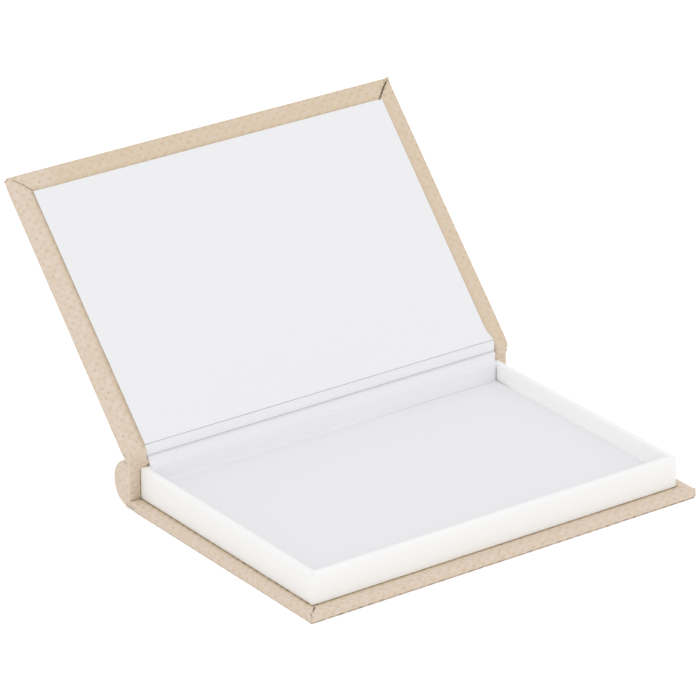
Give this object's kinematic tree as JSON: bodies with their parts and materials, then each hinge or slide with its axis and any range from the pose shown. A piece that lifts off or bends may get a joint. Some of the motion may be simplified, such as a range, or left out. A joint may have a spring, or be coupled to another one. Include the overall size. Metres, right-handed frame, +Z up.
{
  "type": "clamshell book box",
  "caption": "Book-shaped keepsake box: covered boards and a half-round spine carry a shallow white tray; the lid board hinges back at the spine.",
  "frame": {"origin": "on the underside of the bottom cover, below the middle of the tray", "axes": "+X along the spine, +Y from the fore edge to the spine, +Z up from the surface it rests on"},
  "size_m": [0.1802, 0.2011, 0.1098],
  "materials": {
    "covering": "beige leatherette covering, embossed with a fine woven grain, satin",
    "white_wrap": "warm white uncoated paper",
    "liner": "cool white smooth paper",
    "greyboard": "raw greyboard, hidden"
  },
  "bodies": {
    "base": {"bottom_board": "greyboard", "bottom_cover": "covering", "bottom_infill": "greyboard", "spine_core": "greyboard", "spine_cover": "covering", "tray_front_wall": "greyboard", "tray_rear_wall": "greyboard", "tray_left_wall": "greyboard", "tray_right_wall": "greyboard", "tray_wrap": "white_wrap", "floor_board_lower": "greyboard", "floor_board_upper": "greyboard", "tray_liner": "liner"},
    "lid": {"lid_board": "greyboard", "lid_cover": "covering", "lid_infill": "greyboard", "lid_liner": "liner", "joint_cloth": "covering", "joint_liner": "liner"}
  },
  "joints": [
    {"name": "lid_hinge", "type": "hinge", "parent": "base", "child": "lid", "pos_m": [0, 0.05766, 0.02022], "axis": [1, 0, 0], "range_deg": [-38, 132.8], "deforming": ["joint_cloth", "joint_liner"]}
  ]
}
